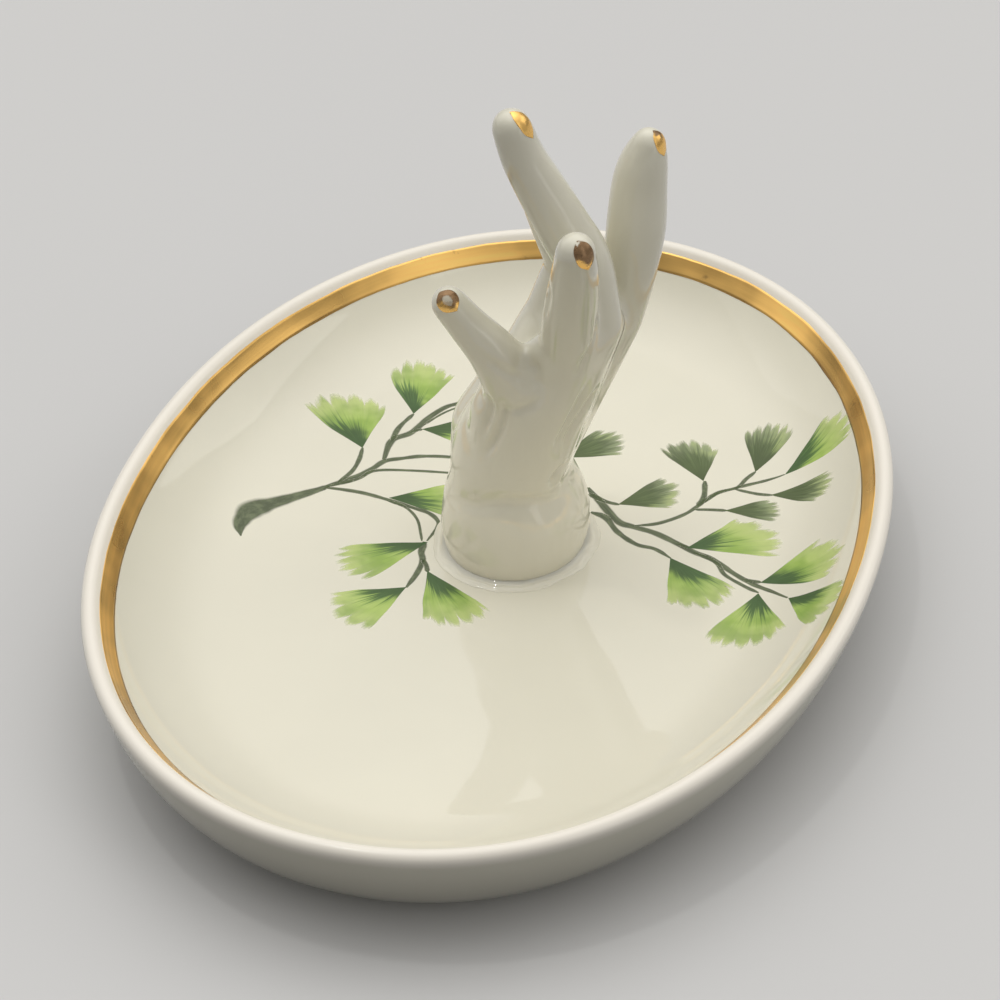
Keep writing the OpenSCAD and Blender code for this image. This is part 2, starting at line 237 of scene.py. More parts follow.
# The sprays in plan, in millimetres. A stem is a row of x, y and width. A leaf is x, y, heading and
# length, spread, how much longer its left edge is, its tone from dark to light and the side on which
# its dark strokes reach furthest
SPRAYS = {
    "left": {
        "stems": [
            [(-32.6, -4.3, 0.3), (-33.5, -2.1, 1.5), (-33.2, 0.9, 2.7), (-31.7, 2.8, 2.2), (-29.2, 5.1, 1.5),
             (-26.4, 7.7, 0.95), (-25.3, 8.9, 0.9)],
            [(-25.7, 8.6, 0.9), (-23, 11.2, 0.84), (-21.3, 13.5, 0.77), (-20.1, 15.9, 0.71),
             (-18.1, 17.1, 0.64), (-15.6, 18.3, 0.58), (-11.8, 19.1, 0.51), (-7, 19, 0.45)],
            [(-25.1, 8.9, 0.5), (-22.2, 11.3, 0.47), (-20.6, 13.6, 0.45), (-16.1, 14.9, 0.43),
             (-8.5, 16.2, 0.4)],
            [(-24.5, 9.8, 0.5), (-23.5, 12.6, 0.5), (-23.4, 15.3, 0.5), (-23.8, 18, 0.5)],
            [(-20.3, 16.2, 0.9), (-20.6, 20.5, 0.84), (-18.7, 22.9, 0.79), (-17.5, 26.7, 0.73),
             (-16, 29.7, 0.67), (-14, 31.6, 0.61), (-13.6, 34, 0.56), (-13, 37.5, 0.5)],
            [(-20.6, 20.5, 0.7), (-20.6, 23.6, 0.6), (-19.7, 27, 0.5)],
            [(-17.7, 24.8, 0.3), (-15.9, 28.3, 0.3), (-13.8, 30.8, 0.3)],
            [(-18.9, 23, 0.4), (-17.5, 24, 0.4)],
            [(-25.5, 8.4, 0.6), (-23.3, 8.6, 0.58), (-20.5, 8.6, 0.56), (-17.1, 8.1, 0.54), (-13.7, 7.4, 0.53),
             (-11.1, 6.8, 0.51), (-9.5, 5.5, 0.49), (-9.2, 4.1, 0.47), (-9.6, 1.2, 0.45)],
            [(-17.1, 7.9, 0.4), (-14.4, 7.2, 0.36), (-12.2, 5.2, 0.33), (-10.8, 2.4, 0.29), (-10.2, 1, 0.25)],
            [(-9.8, 1, 0.9), (-9.6, -1.1, 0.8), (-8.9, -2.8, 0.7), (-8.8, -5.5, 0.6), (-9.2, -8.5, 0.5)],
            [(-9, -2.5, 0.5), (-8.2, -3.5, 0.5), (-7.6, -4.8, 0.5)],
        ],
        "leaves": [
            (-23.8, 17.9, 120, 12, 60, 0.08, 0.95, 0.8), (-19.7, 27, 101, 11.6, 54, 0, 1, 0.9),
            (-17.6, 24, 11, 9, 54, 0, 0.5, 0.6), (-17.1, 8.5, 13, 9.8, 48, 0, 0.75, -0.6),
            (-9.4, 1, -140, 12, 44, 0, 0.95, -0.7), (-9.2, -8.4, -129, 10.4, 56, 0, 0.95, -0.7),
            (-7.7, -4.6, -52, 11.6, 48, 0.1, 0.85, 0.4),
        ],
    },
    "right": {
        "stems": [
            [(6.9, 17.5, 1), (9.2, 15.1, 0.95), (12.5, 11.7, 0.91), (14.7, 11.1, 0.86), (17.6, 10.6, 0.82),
             (20.8, 9.3, 0.77), (23.4, 8.1, 0.73), (26, 7.3, 0.68), (28.8, 5.5, 0.64), (31.5, 4, 0.59),
             (34.6, 2.6, 0.55), (37, 1.1, 0.5)],
            [(7.4, 16.3, 0.8), (9.9, 15.3, 0.6), (11.8, 15.1, 0.4)],
            [(1.9, 22.8, 0.5), (0.6, 20.8, 0.5), (1.2, 18.6, 0.55), (3.6, 17.6, 0.7), (7.1, 17.3, 0.9)],
            [(14.7, 11.3, 0.5), (17.5, 12.6, 0.49), (20.1, 15.1, 0.49), (21.5, 17.5, 0.48), (22.8, 20.3, 0.47),
             (24.8, 22.2, 0.46), (27.5, 24.3, 0.46), (30.8, 26.5, 0.45)],
            [(22.1, 18.4, 0.45), (23.4, 21.1, 0.45), (25.4, 22.7, 0.45), (26.1, 24.8, 0.45),
             (26.9, 26.7, 0.45)],
            [(21.5, 17.5, 0.7), (21.8, 19.6, 0.65), (21.1, 23, 0.6)],
            [(25.3, 22.3, 0.45), (28, 22.1, 0.47), (30.2, 22.2, 0.5)],
            [(21.3, 16.7, 0.45), (23.2, 17.2, 0.47), (25.3, 17.6, 0.5)],
            [(8.7, 12.6, 0.8), (10.8, 12, 0.73), (13.1, 9.5, 0.66), (16, 7.7, 0.59), (18.5, 7.4, 0.52),
             (20.9, 6.1, 0.45)],
            [(23.4, 8.1, 0.5), (26.5, 6.8, 0.49), (28.2, 4.7, 0.47), (30.9, 3.2, 0.46), (33.1, 2.2, 0.45)],
            [(21, 9.3, 0.5), (22.5, 8.8, 0.5)],
            [(30.7, 4.4, 0.5), (32.9, 4.3, 0.5)],
        ],
        "leaves": [
            (1.9, 22.8, 45, 9, 50, 0, 0.1, 0.2), (11.6, 15.1, 36, 8.4, 54, 0.05, 0.15, 0.3),
            (20.9, 22.9, 117, 9, 56, 0.1, 0.12, 0.5), (26.9, 26.6, 90, 10, 46, 0, 0.25, 0.4),
            (30.8, 26.4, 52, 10.4, 42, 0.06, 0.75, 0.9), (29.9, 22.2, 7, 7.8, 46, 0.1, 0.1, 0),
            (25, 17.5, 16, 7, 46, -0.08, 0.15, 0), (22.3, 8.7, 32, 11.4, 52, -0.12, 0.9, 0.3),
            (20.8, 6.2, -50, 10.8, 56, 0.06, 0.85, 0.8), (33.1, 2.1, -85, 11, 60, -0.1, 0.95, 0.3),
            (32.8, 4.2, 27, 10.2, 60, 0.1, 0.85, -0.7), (37.1, 1, -29, 8, 68, -0.1, 0.85, 0.9),
        ],
    },
}


# Shapes that several pieces share

def keep_sign(value, power):
    return math.copysign(abs(value) ** power, value)


def crest_frame(angle):
    """The point of the rim's crest at an angle, and the direction straight out from it, in plan."""
    dish = settings("ring_dish")
    lip = dish.lip_thickness / 2
    a, b, p = DISH_HIGH.x - lip, DISH_HIGH.y - lip, dish.oval_power
    c, s = math.cos(angle), math.sin(angle)
    point = Vector((a * keep_sign(c, 2 / p), b * keep_sign(s, 2 / p), 0))
    out = Vector((keep_sign(c, 2 - 2 / p) / a, keep_sign(s, 2 - 2 / p) / b, 0))
    return point, out.normalized()


SPIN_RADIUS = 1.0


def spin_section(section, sides):
    """A section of (offset from the crest, height) turned into a full loop round Z, as a bmesh."""
    bm = bmesh.new()
    verts = [bm.verts.new((SPIN_RADIUS + offset, 0, height)) for offset, height in section]
    edges = [bm.edges.new(pair) for pair in zip(verts, verts[1:])]
    bmesh.ops.spin(bm, geom=verts + edges, cent=(0, 0, 0), axis=(0, 0, 1), dvec=(0, 0, 0),
                   angle=math.tau, steps=sides, use_merge=True, use_duplicate=False)
    return bm


def lay_round_oval(bm, shift=None):
    """Moves each spun point from the circle to its place beside the oval's crest."""
    for v in bm.verts:
        angle = math.atan2(v.co.y, v.co.x)
        offset = math.hypot(v.co.x, v.co.y) - SPIN_RADIUS
        point, out = crest_frame(angle)
        if shift:
            offset, height = shift(angle, offset, v.co.z)
        else:
            height = v.co.z
        place = point + out * offset
        v.co = (place.x, place.y, height)


def inner_curve():
    dish = settings("ring_dish")
    lip = dish.lip_thickness / 2
    start = lip * (1 - math.sin(dish.inner_lean))
    depth = DISH_HIGH.z - HAND_LOW.z
    return (depth - start) / (1 - math.sin(dish.inner_lean))


def inner_point(slope):
    """A point of the hollow side in section, where its slope from upright has the given value."""
    dish = settings("ring_dish")
    lip = dish.lip_thickness / 2
    r = inner_curve()
    offset = -lip * math.cos(dish.inner_lean) - r * (math.cos(dish.inner_lean) - math.cos(slope))
    height = DISH_HIGH.z - lip * (1 - math.sin(dish.inner_lean)) - r * (
        math.sin(slope) - math.sin(dish.inner_lean))
    return offset, height


def inner_slope(drop):
    """The slope of the inner wall at a distance below the rim."""
    dish = settings("ring_dish")
    lip = dish.lip_thickness / 2
    start = lip * (1 - math.sin(dish.inner_lean))
    return math.asin((drop - start) / inner_curve() + math.sin(dish.inner_lean))


def arc(count, point, first, last):
    return [point(first + (last - first) * k / count) for k in range(count + 1)]


def finish_piece(name, bm, materials, replaces, smooth=True):
    """Turns a bmesh into a piece that rides on the object and stands for its CAD nodes."""
    mesh = bpy.data.meshes.new(name)
    bm.to_mesh(mesh)
    bm.free()
    for material in materials:
        mesh.materials.append(material)
    for polygon in mesh.polygons:
        polygon.use_smooth = smooth
    piece = bpy.data.objects.new(name, mesh)
    bpy.context.scene.collection.objects.link(piece)
    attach(piece, BODY)
    if replaces:
        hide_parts(*replaces)
    return piece


def surface_tree(piece):
    bm = bmesh.new()
    bm.from_mesh(piece.data)
    tree = BVHTree.FromBMesh(bm)
    bm.free()
    return tree


def smooth_path(points, per_span):
    """Points along a smooth curve through the given ones, ends included."""
    rows = [Vector(p) for p in points]
    rows = [rows[0] * 2 - rows[1]] + rows + [rows[-1] * 2 - rows[-2]]
    path = []
    for k in range(1, len(rows) - 2):
        a, b, c, d = rows[k - 1:k + 3]
        for step in range(per_span):
            t = step / per_span
            path.append(0.5 * ((2 * b) + (c - a) * t + (2 * a - 5 * b + 4 * c - d) * t * t
                               + (3 * b - a - 3 * c + d) * t * t * t))
    path.append(rows[-2])
    return path


# Materials

class Nodes:
    """Short calls that add and link shader nodes in one tree."""

    def __init__(self, tree):
        self.tree = tree
        tree.nodes.clear()

    def add(self, kind, values=None, **attributes):
        node = self.tree.nodes.new(kind)
        for key, value in attributes.items():
            setattr(node, key, value)
        for key, value in (values or {}).items():
            if isinstance(value, bpy.types.NodeSocket):
                self.tree.links.new(value, node.inputs[key])
            else:
                node.inputs[key].default_value = value
        return node

    def math(self, operation, a, b=0.0, c=0.0, clamp=False):
        return self.add("ShaderNodeMath", {0: a, 1: b, 2: c}, operation=operation, use_clamp=clamp).outputs[0]

    def mix(self, factor, a, b, blend="MIX"):
        node = self.add("ShaderNodeMix", {0: factor, 6: a, 7: b}, data_type="RGBA", blend_type=blend)
        return node.outputs[2]

    def ramp(self, value, low, high, to_low=0.0, to_high=1.0, smooth=True):
        kind = "SMOOTHSTEP" if smooth else "LINEAR"
        values = {"Value": value, "From Min": low, "From Max": high, "To Min": to_low, "To Max": to_high}
        return self.add("ShaderNodeMapRange", values, interpolation_type=kind, clamp=True).outputs[0]

    def scaled(self, vector, factor):
        """A vector or colour times one number or three."""
        if isinstance(factor, tuple):
            return self.add("ShaderNodeVectorMath", {0: vector, 1: factor}, operation="MULTIPLY").outputs[0]
        return self.add("ShaderNodeVectorMath", {0: vector, "Scale": factor}, operation="SCALE").outputs[0]

    def noise(self, vector, scale, detail=2.0, roughness=0.5):
        values = {"Vector": vector, "Scale": scale, "Detail": detail, "Roughness": roughness}
        return self.add("ShaderNodeTexNoise", values).outputs[0]


def rgba(colour):
    return (colour[0], colour[1], colour[2], 1.0)


def new_group(name, inputs, outputs):
    """An empty shader node group with named inputs and outputs."""
    group = bpy.data.node_groups.new(name, "ShaderNodeTree")
    for label, kind, default in inputs:
        socket = group.interface.new_socket(label, in_out="INPUT", socket_type=kind)
        if default is not None:
            socket.default_value = default
    for label, kind in outputs:
        group.interface.new_socket(label, in_out="OUTPUT", socket_type=kind)
    return group


def glaze_group():
    """Pooled glaze: a slow change of tone, rare iron specks, and the long swells of a poured surface."""
    group = new_group("Pooled glaze", [
        ("Colour", "NodeSocketColor", (0.8, 0.8, 0.8, 1)), ("Shade", "NodeSocketFloat", 0.06),
        ("Speck", "NodeSocketFloat", 0.5), ("Swell", "NodeSocketFloat", 1.0),
        ("Streak", "NodeSocketFloat", 0.0)],
        [("Colour", "NodeSocketColor"), ("Roughness", "NodeSocketFloat"), ("Height", "NodeSocketFloat")])
    n = Nodes(group)
    entry = n.add("NodeGroupInput")
    place = n.add("ShaderNodeTexCoord").outputs["Object"]
    cloud = n.noise(place, 38, 3, 0.55)
    fine = n.noise(place, 420, 2, 0.6)
    dim = n.math("MULTIPLY", n.math("SUBTRACT", cloud, 0.5), entry.outputs["Shade"])
    factor = n.math("ADD", 1.0, n.math("MULTIPLY", dim, 2.0))
    tinted = n.scaled(entry.outputs["Colour"], factor)
    cells = n.add("ShaderNodeTexVoronoi", {"Vector": place, "Scale": 95.0}, feature="F1")
    dot = n.ramp(cells.outputs["Distance"], 0.030, 0.018)
    chance = n.ramp(n.add("ShaderNodeSeparateColor", {0: cells.outputs["Color"]}).outputs[0], 0.955, 0.965)
    speck = n.math("MULTIPLY", n.math("MULTIPLY", dot, chance), entry.outputs["Speck"])
    colour = n.mix(speck, tinted, (0.22, 0.13, 0.07, 1))
    roughness = n.ramp(fine, 0.3, 0.7, 0.025, 0.06)
    swell = n.math("MULTIPLY", n.noise(place, 62, 1, 0.4), entry.outputs["Swell"])
    pits = n.math("MULTIPLY", n.noise(place, 900, 1, 0.5), 0.012)
    tall = n.scaled(place, (400.0, 400.0, 60.0))
    streak = n.math("MULTIPLY", n.noise(tall, 1.0, 1, 0.4), entry.outputs["Streak"])
    height = n.math("ADD", n.math("ADD", swell, pits), streak)
    n.add("NodeGroupOutput", {"Colour": colour, "Roughness": roughness, "Height": height})
    return group


def wear_group():
    """Fired gold: patches rubbed to a brown tarnish, and places worn through to the glaze."""
    group = new_group("Worn gold", [
        ("Tarnish", "NodeSocketFloat", 0.2), ("Bare", "NodeSocketFloat", 0.0),
        ("Scale", "NodeSocketFloat", 500.0),
        ("Gold", "NodeSocketColor", None), ("Brown", "NodeSocketColor", None)],
        [("Colour", "NodeSocketColor"), ("Cover", "NodeSocketFloat"), ("Roughness", "NodeSocketFloat"),
         ("Metal", "NodeSocketFloat"), ("Height", "NodeSocketFloat")])
    n = Nodes(group)
    entry = n.add("NodeGroupInput")
    place = n.add("ShaderNodeTexCoord").outputs["Object"]
    patch = n.noise(place, entry.outputs["Scale"], 4, 0.6)
    level = n.math("SUBTRACT", 0.80, n.math("MULTIPLY", entry.outputs["Tarnish"], 0.6))
    brown = n.ramp(n.math("SUBTRACT", patch, level), -0.10, 0.06)
    rubbed = n.ramp(n.math("SUBTRACT", patch, n.math("SUBTRACT", 0.86, n.math(
        "MULTIPLY", entry.outputs["Bare"], 0.6))), -0.03, 0.03)
    colour = n.mix(brown, entry.outputs["Gold"], entry.outputs["Brown"])
    cover = n.math("SUBTRACT", 1.0, rubbed)
    grain = n.noise(place, 1500, 2, 0.5)
    rough = n.ramp(grain, 0.25, 0.75, 0.22, 0.36)
    metal = n.math("SUBTRACT", 1.0, n.math("MULTIPLY", brown, 0.45))
    n.add("NodeGroupOutput", {"Colour": colour, "Cover": cover, "Roughness": rough, "Metal": metal,
                              "Height": grain})
    return group


def brush_group():
    """Strokes of a loaded brush, long the way the UV map's V runs: a mask from dry to loaded."""
    group = new_group("Brush strokes", [
        ("Across", "NodeSocketFloat", 14.0), ("Along", "NodeSocketFloat", 1.5),
        ("Seed", "NodeSocketFloat", 0.0)],
        [("Stroke", "NodeSocketFloat"), ("Wash", "NodeSocketFloat")])
    n = Nodes(group)
    entry = n.add("NodeGroupInput")
    uv = n.add("ShaderNodeSeparateXYZ", {0: n.add("ShaderNodeTexCoord").outputs["UV"]})
    across = n.math("MULTIPLY", uv.outputs[0], entry.outputs["Across"])
    along = n.math("MULTIPLY", uv.outputs[1], entry.outputs["Along"])
    vector = n.add("ShaderNodeCombineXYZ", {0: across, 1: along, 2: entry.outputs["Seed"]}).outputs[0]
    stroke = n.noise(vector, 1.0, 3, 0.6)
    place = n.add("ShaderNodeTexCoord").outputs["Object"]
    wash = n.noise(place, 260, 2, 0.5)
    n.add("NodeGroupOutput", {"Stroke": stroke, "Wash": wash})
    return group


GROUPS = {}


def group(name, make):
    if name not in GROUPS:
        GROUPS[name] = make()
    return GROUPS[name]


def start_material(name):
    material = bpy.data.materials.new(name)
    material.use_nodes = True
    return material, Nodes(material.node_tree)


def place_group(n, shared, values):
    node = n.add("ShaderNodeGroup", node_tree=shared)
    for key, value in values.items():
        if isinstance(value, bpy.types.NodeSocket):
            n.tree.links.new(value, node.inputs[key])
        else:
            node.inputs[key].default_value = value
    return node


def bumped(n, height, distance, strength=1.0):
    values = {"Height": height, "Distance": distance, "Strength": strength}
    return n.add("ShaderNodeBump", values).outputs[0]


def finish_material(n, values):
    shader = n.add("ShaderNodeBsdfPrincipled", values)
    n.add("ShaderNodeOutputMaterial", {"Surface": shader.outputs[0]})
    return shader


def porcelain_material(name, shade=0.05, speck=0.6, swell=1.0, streak=0.0, coat=0.3,
                       rim_height=None, crevice_shade_height=None):
    """Cream porcelain under a glossy glaze, paler and drier at a rim, with painted shade greying the crevice of
    a joint.
    """
    material, n = start_material(name)
    paint = settings("ring_paint")
    glaze = place_group(n, group("glaze", glaze_group), {
        "Colour": rgba(paint.porcelain), "Shade": shade, "Speck": speck, "Swell": swell, "Streak": streak})
    colour, roughness = glaze.outputs["Colour"], glaze.outputs["Roughness"]
    if rim_height is not None:
        place = n.add("ShaderNodeSeparateXYZ", {0: n.add("ShaderNodeTexCoord").outputs["Object"]})
        dry = n.ramp(place.outputs[2], rim_height - 0.0022, rim_height - 0.0010)
        colour = n.mix(dry, colour, (0.90, 0.855, 0.765, 1))
        roughness = n.math("ADD", roughness, n.math("MULTIPLY", dry, 0.16))
    if crevice_shade_height is not None:
        # Painted shade: a grey that deepens up to the joint's height and stands in for the shade in its crevice
        place = n.add("ShaderNodeSeparateXYZ", {0: n.add("ShaderNodeTexCoord").outputs["Object"]})
        painted_crevice_shade = n.ramp(place.outputs[2], crevice_shade_height - 0.0004, crevice_shade_height, 0.03, 0.6)
        colour = n.mix(painted_crevice_shade, colour, (0.38, 0.385, 0.35, 1))
    normal = bumped(n, glaze.outputs["Height"], 0.00022)
    finish_material(n, {"Base Color": colour, "Roughness": roughness, "Normal": normal, "IOR": 1.5,
                        "Coat Weight": coat, "Coat Roughness": 0.02})
    return material


def gold_line_material():
    """Gold laid on with a brush: slow changes of brightness, faint streaks, a brown edge where it thins."""
    material, n = start_material("Gold line")
    gilding = settings("ring_gilding")
    place = n.add("ShaderNodeTexCoord").outputs["Object"]
    stretched = n.scaled(place, (60.0, 60.0, 2200.0))
    streak = n.noise(stretched, 1.0, 2, 0.5)
    slow = n.noise(place, 48.0, 3, 0.55)
    worn = place_group(n, group("wear", wear_group), {
        "Tarnish": 0.08, "Bare": 0.0, "Scale": 300.0, "Gold": rgba(gilding.gold),
        "Brown": rgba(gilding.worn_gold)})
    shade = n.math("ADD", n.ramp(slow, 0.36, 0.64, 0.58, 1.10), n.ramp(streak, 0.3, 0.7, -0.06, 0.05))
    colour = n.scaled(worn.outputs["Colour"], shade)
    height = n.add("ShaderNodeSeparateXYZ", {0: place}).outputs[2]
    foot = DISH_HIGH.z - gilding.band_drop - gilding.band_height
    ragged = n.math("ADD", height, n.math("MULTIPLY", slow, 0.0003))
    thin = n.ramp(ragged, foot + 0.00055, foot + 0.0001, 0.0, 0.7)
    colour = n.mix(thin, colour, rgba(gilding.worn_gold))
    roughness = n.ramp(slow, 0.3, 0.7, 0.22, 0.38)
    normal = bumped(n, streak, 0.000006)
    finish_material(n, {"Base Color": colour, "Metallic": 1.0, "Roughness": roughness, "Normal": normal})
    return material


def gold_nail_material(name, tarnish, bare, ragged):
    """A gilt nail: bright at its root, browned by handling, rubbed bare in the middle or chipped."""
    material, n = start_material(name)
    gilding = settings("ring_gilding")
    uv = n.add("ShaderNodeSeparateXYZ", {0: n.add("ShaderNodeTexCoord").outputs["UV"]})
    flake = n.noise(n.add("ShaderNodeTexCoord").outputs["Object"], 1300.0, 2, 0.6)
    across = n.math("MULTIPLY", n.math("SUBTRACT", uv.outputs[0], 0.5), 2.0)
    along = n.math("MULTIPLY", n.math("SUBTRACT", uv.outputs[1], 0.5), 2.0)
    square = n.math("ADD", n.math("MULTIPLY", across, across), n.math("MULTIPLY", along, along))
    radius = n.math("SQRT", square)
    radius = n.math("ADD", radius, n.math("MULTIPLY", n.math("SUBTRACT", flake, 0.5), 0.5))
    slant = n.math("ADD", uv.outputs[1], n.math("MULTIPLY", uv.outputs[0], 0.5))
    root = n.ramp(slant, 1.0, 0.25, smooth=False)
    browned = n.math("SUBTRACT", tarnish, n.math("MULTIPLY", root, 0.75), clamp=True)
    hole = n.ramp(radius, bare + 0.08, bare - 0.15, 0.0, 0.8) if bare else 0.0
    worn = place_group(n, group("wear", wear_group), {
        "Tarnish": browned, "Bare": 0.0, "Scale": 800.0, "Gold": rgba(gilding.gold),
        "Brown": rgba(gilding.worn_gold)})
    chipped = n.math("ADD", uv.outputs[1], n.math("MULTIPLY", flake, ragged))
    tip = n.ramp(chipped, 1 + ragged * 0.45, 0.94 + ragged * 0.4)
    cover = n.math("MULTIPLY", tip, n.math("SUBTRACT", 1.0, hole))
    normal = bumped(n, worn.outputs["Height"], 0.00002)
    finish_material(n, {"Base Color": worn.outputs["Colour"], "Metallic": worn.outputs["Metal"],
                        "Roughness": worn.outputs["Roughness"], "Alpha": cover, "Normal": normal})
    return material


def let_light_through(n, cover):
    """The cover of thin enamel, which shades none of the glaze that it lies on."""
    path = n.add("ShaderNodeLightPath").outputs
    through = n.math("MAXIMUM", path["Is Shadow Ray"], path["Is Diffuse Ray"])
    return n.math("MULTIPLY", cover, n.math("SUBTRACT", 1.0, through))


def leaf_material():
    """Green enamel laid on in strokes, dark at the stalk and thin and yellow at the fringe."""
    material, n = start_material("Leaf enamel")
    paint = settings("ring_paint")
    tone = n.add("ShaderNodeAttribute", attribute_name="tone").outputs["Fac"]
    skew = n.add("ShaderNodeAttribute", attribute_name="skew").outputs["Fac"]
    uv = n.add("ShaderNodeSeparateXYZ", {0: n.add("ShaderNodeTexCoord").outputs["UV"]})
    across, along = uv.outputs[0], uv.outputs[1]
    brush = place_group(n, group("brush", brush_group), {"Across": 24.0, "Along": 1.1,
                                                         "Seed": n.math("MULTIPLY", tone, 37.0)})
    stroke, wash = brush.outputs["Stroke"], brush.outputs["Wash"]
    reach = n.math("ADD", 0.82, n.math("MULTIPLY", tone, -0.44))
    side = n.math("MULTIPLY", n.math("MULTIPLY", n.math("SUBTRACT", 0.5, across), skew), 0.75)
    edge = n.math("ADD", n.math("ADD", reach, side), n.math("MULTIPLY", n.math("SUBTRACT", stroke, 0.5), 0.9))
    past = n.math("SUBTRACT", along, edge)
    dark = n.math("MAXIMUM", n.ramp(past, 0.07, -0.09), n.ramp(n.math(
        "ADD", along, n.math("MULTIPLY", n.math("SUBTRACT", wash, 0.5), 0.5)), 0.38, 0.16))
    fresh = n.mix(n.ramp(along, 0.5, 0.95, 0.0, 0.85), rgba(paint.leaf_light), (0.48, 0.58, 0.19, 1))
    grey = n.mix(n.ramp(along, 0.3, 1.0), (0.16, 0.215, 0.095, 1), (0.27, 0.33, 0.165, 1))
    light = n.mix(n.ramp(tone, 0.2, 0.6), grey, fresh)
    middle = n.mix(n.ramp(stroke, 0.30, 0.5, 0.2, 0.0), light, (0.19, 0.33, 0.08, 1))
    middle = n.mix(n.math("MULTIPLY", n.ramp(wash, 0.52, 0.35, 0.0, 0.5), n.ramp(tone, 0.2, 0.6)), middle,
                   (0.27, 0.44, 0.075, 1))
    middle = n.mix(n.ramp(wash, 0.45, 0.7, 0.0, 0.45), middle, (0.48, 0.57, 0.19, 1))
    middle = n.mix(n.ramp(past, 0.22, 0.0, 0.0, 0.5), middle, n.mix(
        n.ramp(tone, 0.2, 0.6), (0.10, 0.14, 0.05, 1), (0.16, 0.285, 0.065, 1)))
    shadow = n.mix(n.ramp(tone, 0.2, 0.6), (0.078, 0.112, 0.038, 1), rgba(paint.leaf_dark))
    lifted = n.mix(n.ramp(tone, 0.2, 0.6), (0.13, 0.18, 0.07, 1), (0.12, 0.225, 0.055, 1))
    thinned = n.math("MULTIPLY", n.ramp(stroke, 0.4, 0.68), n.ramp(along, 0.05, 0.75))
    colour = n.mix(dark, middle, n.mix(thinned, shadow, lifted))
    colour = n.scaled(colour, n.ramp(wash, 0.3, 0.7, 0.9, 1.12))
    loose = place_group(n, group("brush", brush_group), {"Across": 11.0, "Along": 1.5,
                                                         "Seed": n.math("MULTIPLY", tone, 61.0)})
    feather = n.ramp(n.math("ADD", along, n.math("MULTIPLY", loose.outputs["Stroke"], 0.2)), 1.13, 0.99)
    side_edge = n.ramp(n.math("ABSOLUTE", n.math("SUBTRACT", across, 0.5)), 0.5, 0.475)
    cover = n.math("MULTIPLY", n.math("MULTIPLY", feather, side_edge), n.ramp(along, 0.5, 1.0, 0.98, 0.88))
    normal = bumped(n, stroke, 0.00002)
    cover = let_light_through(n, cover)
    finish_material(n, {"Base Color": colour, "Roughness": 0.15, "Alpha": cover, "Normal": normal,
                        "IOR": 1.3})
    return material


def stem_material():
    """Grey-green enamel of the stems, darker along one side, with edges that fade into the glaze."""
    material, n = start_material("Stem enamel")
    paint = settings("ring_paint")
    uv = n.add("ShaderNodeSeparateXYZ", {0: n.add("ShaderNodeTexCoord").outputs["UV"]})
    brush = place_group(n, group("brush", brush_group), {"Across": 3.0, "Along": 9.0, "Seed": 4.0})
    loaded = n.ramp(brush.outputs["Stroke"], 0.38, 0.64)
    colour = n.mix(loaded, rgba(paint.stem_green), (0.125, 0.16, 0.077, 1))
    shaded = n.ramp(uv.outputs[0], 0.75, 0.95, 0.0, 0.5)
    colour = n.mix(shaded, colour, (0.05, 0.065, 0.03, 1))
    edge = n.math("ABSOLUTE", n.math("SUBTRACT", uv.outputs[0], 0.5))
    cover = let_light_through(n, n.ramp(edge, 0.5, 0.28, 0.0, 0.94))
    finish_material(n, {"Base Color": colour, "Roughness": 0.15, "Alpha": cover, "IOR": 1.3})
    return material


# Pieces

def dish_section():
    """The section of the dish, from the middle underneath, round the lip, to the middle of the floor."""
    dish = settings("ring_dish")
    lip = dish.lip_thickness / 2
    top = DISH_HIGH.z - lip
    foot_edge = 0.0006
    steep = math.asin((top - foot_edge) / dish.outer_curve + math.sin(dish.outer_lean))

    def outer(angle):
        return (lip - dish.outer_curve * (math.cos(dish.outer_lean) - math.cos(angle)),
                top - dish.outer_curve * (math.sin(angle) - math.sin(dish.outer_lean)))

    def lip_point(angle):
        return lip * math.cos(angle), top + lip * math.sin(angle)

    foot_out = outer(steep)[0] - foot_edge
    foot_in = foot_out - dish.foot_width
    under = [(foot_in - 0.016, dish.foot_recess), (foot_in - 0.006, dish.foot_recess),
             (foot_in - 0.0024, dish.foot_recess - 0.0002), (foot_in - 0.0012, dish.foot_recess - 0.0010),
             (foot_in - 0.0006, 0.0007), (foot_in - 0.0003, 0.00025), (foot_in, 0), (foot_out, 0),
             (foot_out + 0.00035, 0.0002)]
    walls = arc(22, outer, steep, dish.outer_lean)
    crest = arc(12, lip_point, dish.outer_lean, math.pi - dish.inner_lean)[1:-1]
    hollow = arc(34, inner_point, dish.inner_lean, math.pi / 2)
    floor = [(hollow[-1][0] - step, hollow[-1][1]) for step in (0.004, 0.010)]
    return under + walls + crest + hollow + floor


def cap_hole(bm, height_test):
    """Closes an open loop with rings that shrink to its middle."""
    loop = [e for e in bm.edges if e.is_boundary and height_test(e.verts[0].co.z)]
    for shrink in (0.6, 0.5, 0.2):
        made = bmesh.ops.extrude_edge_only(bm, edges=loop)
        loop = [g for g in made["geom"] if isinstance(g, bmesh.types.BMEdge)]
        for v in {v for e in loop for v in e.verts}:
            v.co.x *= shrink
            v.co.y *= shrink
    bmesh.ops.holes_fill(bm, edges=loop, sides=0)


